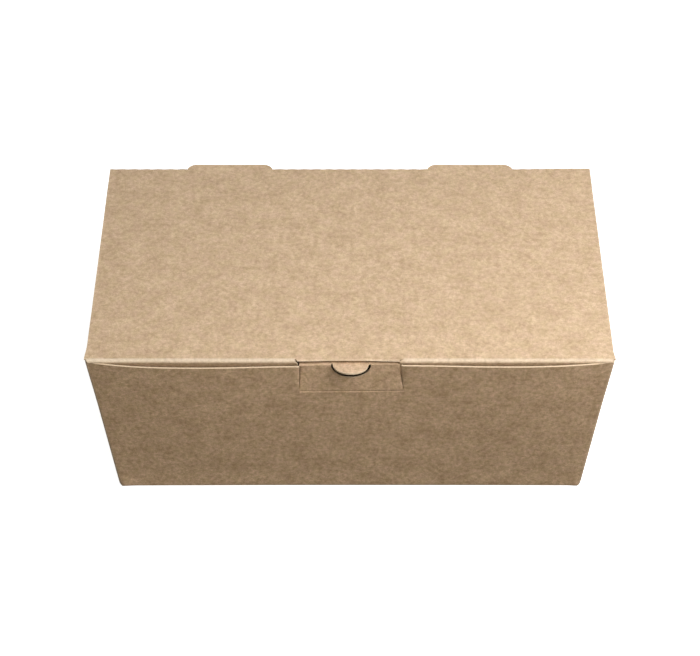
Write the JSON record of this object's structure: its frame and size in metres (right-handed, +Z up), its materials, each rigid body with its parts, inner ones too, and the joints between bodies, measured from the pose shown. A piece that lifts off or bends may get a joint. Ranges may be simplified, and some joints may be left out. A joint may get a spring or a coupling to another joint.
{
  "type": "cardboard box with lid",
  "caption": "Small tapered folding carton with a hinged tuck-in lid, rear tabs and a folded lock tongue with a half-round thumb tab.",
  "frame": {"origin": "middle of the base's underside, on the surface that the box stands on", "axes": "+X along the box's length, +Y towards the rear crease that carries the lid, +Z up out of the base"},
  "size_m": [0.1508, 0.0971, 0.056],
  "materials": {
    "tray_board": "matt brown kraft board",
    "lid_board": "matt brown kraft board",
    "tongue_board": "matt brown kraft board"
  },
  "bodies": {
    "tray": {"tray": "tray_board"},
    "lid": {"lid": "lid_board"},
    "tongue": {"tongue": "tongue_board"}
  },
  "joints": [
    {"name": "lid_hinge", "type": "hinge", "parent": "tray", "child": "lid", "pos_m": [0, 0.045, 0.056], "axis": [-1, 0, 0], "range_deg": [0, 175]},
    {"name": "tongue_hinge", "type": "hinge", "parent": "tray", "child": "tongue", "pos_m": [0, -0.04494, 0.04425], "axis": [1, 0, 0], "range_deg": [0, 120]}
  ]
}
